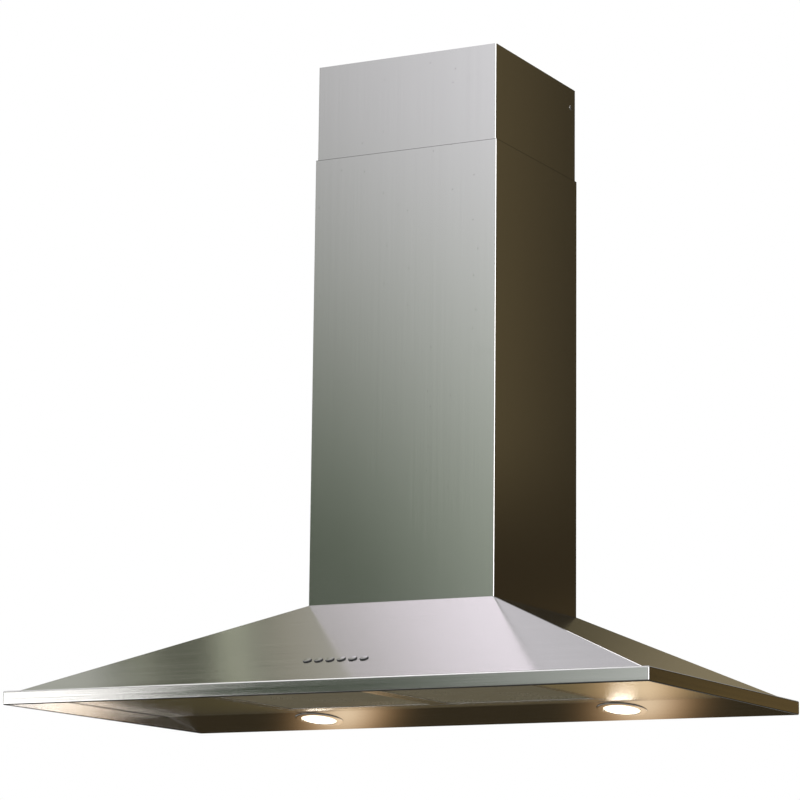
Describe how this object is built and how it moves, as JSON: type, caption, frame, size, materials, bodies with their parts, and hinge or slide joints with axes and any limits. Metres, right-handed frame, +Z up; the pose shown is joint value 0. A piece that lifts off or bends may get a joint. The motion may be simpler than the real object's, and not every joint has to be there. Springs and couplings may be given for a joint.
{
  "type": "canopy range hood",
  "caption": "Wall-mounted pyramid canopy range hood with a telescopic chimney, push buttons, two lamps, swing-down grease filters and a blower inside.",
  "frame": {"origin": "centre of the four wall-fixing holes, on the wall face of the back plate, 200 mm above the bottom of the lip", "axes": "+Z up; +Y into the wall, the hood's front faces -Y; +X to the right as one looks at the front"},
  "size_m": [0.9, 0.49, 0.872],
  "materials": {
    "steel_canopy": "brushed stainless steel, grain from side to side",
    "steel_lip": "brushed stainless steel, grain along the lip",
    "steel_chimney": "brushed stainless steel, fine vertical grain",
    "steel_underside": "brushed stainless steel",
    "galvanised": "galvanised sheet",
    "zinc_screws": "zinc-plated",
    "ground_steel": "ground and bright drawn",
    "motor_iron": "dark lacquer on iron",
    "bronze": "sintered",
    "black_plastic": "moulded, satin",
    "white_plastic": "moulded, satin",
    "black_rubber": "matt",
    "flap_aluminium": "mill finish",
    "filter_aluminium": "satin",
    "filter_mesh": "expanded metal",
    "lamp_chrome": "polished",
    "lamp_glass": "frosted",
    "button_metal": "satin plated",
    "lead_sheath": "flexible sheath"
  },
  "bodies": {
    "hood": {"canopy_shell": "steel_canopy", "lip_frame": "steel_lip", "under_panel": "steel_underside", "back_plate": "galvanised", "blower_box": "galvanised", "box_top_plate": "galvanised", "box_screws": "zinc_screws", "chimney_lower": "steel_chimney", "cover_screws": "zinc_screws", "scroll_left": "black_plastic", "scroll_right": "black_plastic", "scroll_screws": "zinc_screws", "motor_body": "motor_iron", "motor_bearings": "bronze", "motor_bracket": "galvanised", "motor_grommets": "black_rubber", "motor_screws": "zinc_screws", "outlet_adaptor": "black_plastic", "duct_collar": "black_plastic", "flap_pin": "ground_steel", "lamp_bezel_left": "lamp_chrome", "lamp_bezel_right": "lamp_chrome", "lamp_glass_left": "lamp_glass", "lamp_glass_right": "lamp_glass", "lamp_can_left": "flap_aluminium", "lamp_can_right": "flap_aluminium", "lamp_bulb_left": "lamp_glass", "lamp_bulb_right": "lamp_glass", "switch_bank": "black_plastic", "terminal_box": "white_plastic", "terminal_lid": "white_plastic", "transformer": "black_plastic", "capacitor": "white_plastic", "cable_gland": "black_plastic", "lamp_leads": "lead_sheath", "motor_lead": "lead_sheath", "switch_lead": "lead_sheath"},
    "upper_chimney": {"chimney_upper": "steel_chimney", "chimney_bracket": "galvanised", "bracket_screws": "zinc_screws"},
    "fan": {"impeller": "black_plastic", "motor_shaft": "ground_steel", "motor_rotor": "motor_iron"},
    "front_flap": {"flap_front": "flap_aluminium"},
    "rear_flap": {"flap_rear": "flap_aluminium"},
    "left_filter": {"filter_frame_left": "filter_aluminium", "filter_mesh_left": "filter_mesh", "latch_spring_left": "ground_steel"},
    "right_filter": {"filter_frame_right": "filter_aluminium", "filter_mesh_right": "filter_mesh", "latch_spring_right": "ground_steel"},
    "left_latch": {"filter_latch_left": "black_plastic"},
    "right_latch": {"filter_latch_right": "black_plastic"},
    "push_1": {"button_1": "button_metal"},
    "push_2": {"button_2": "button_metal"},
    "push_3": {"button_3": "button_metal"},
    "push_4": {"button_4": "button_metal"},
    "push_5": {"button_5": "button_metal"},
    "push_6": {"button_6": "button_metal"}
  },
  "joints": [
    {"name": "chimney_slide", "type": "slide", "parent": "hood", "child": "upper_chimney", "axis": [0, 0, 1], "range_m": [-0.12, 0.26]},
    {"name": "fan_spin", "type": "hinge", "parent": "hood", "child": "fan", "pos_m": [0, -0.121, 0.052], "axis": [1, 0, 0], "continuous": true},
    {"name": "front_flap_hinge", "type": "hinge", "parent": "hood", "child": "front_flap", "pos_m": [0, -0.158, 0.236], "axis": [-1, 0, 0], "range_deg": [0, 72]},
    {"name": "rear_flap_hinge", "type": "hinge", "parent": "hood", "child": "rear_flap", "pos_m": [0, -0.158, 0.236], "axis": [1, 0, 0], "range_deg": [0, 72]},
    {"name": "left_filter_swing", "type": "hinge", "parent": "hood", "child": "left_filter", "pos_m": [-0.118, -0.125, -0.183], "axis": [1, 0, 0], "range_deg": [0, 70]},
    {"name": "right_filter_swing", "type": "hinge", "parent": "hood", "child": "right_filter", "pos_m": [0.118, -0.125, -0.183], "axis": [1, 0, 0], "range_deg": [0, 70]},
    {"name": "left_latch_pull", "type": "slide", "parent": "left_filter", "child": "left_latch", "axis": [0, 1, 0], "range_m": [0, 0.005], "stiffness_N_per_m": 300, "springref_m": -0.002, "deforming": ["latch_spring_left"]},
    {"name": "right_latch_pull", "type": "slide", "parent": "right_filter", "child": "right_latch", "axis": [0, 1, 0], "range_m": [0, 0.005], "stiffness_N_per_m": 300, "springref_m": -0.002, "deforming": ["latch_spring_right"]},
    {"name": "button_1_press", "type": "slide", "parent": "hood", "child": "push_1", "axis": [0, 0.4767, -0.8791], "range_m": [0, 0.0015], "stiffness_N_per_m": 400, "springref_m": -0.001},
    {"name": "button_2_press", "type": "slide", "parent": "hood", "child": "push_2", "axis": [0, 0.4767, -0.8791], "range_m": [0, 0.0015], "stiffness_N_per_m": 400, "springref_m": -0.001},
    {"name": "button_3_press", "type": "slide", "parent": "hood", "child": "push_3", "axis": [0, 0.4767, -0.8791], "range_m": [0, 0.0015], "stiffness_N_per_m": 400, "springref_m": -0.001},
    {"name": "button_4_press", "type": "slide", "parent": "hood", "child": "push_4", "axis": [0, 0.4767, -0.8791], "range_m": [0, 0.0015], "stiffness_N_per_m": 400, "springref_m": -0.001},
    {"name": "button_5_press", "type": "slide", "parent": "hood", "child": "push_5", "axis": [0, 0.4767, -0.8791], "range_m": [0, 0.0015], "stiffness_N_per_m": 400, "springref_m": -0.001},
    {"name": "button_6_press", "type": "slide", "parent": "hood", "child": "push_6", "axis": [0, 0.4767, -0.8791], "range_m": [0, 0.0015], "stiffness_N_per_m": 400, "springref_m": -0.001}
  ]
}
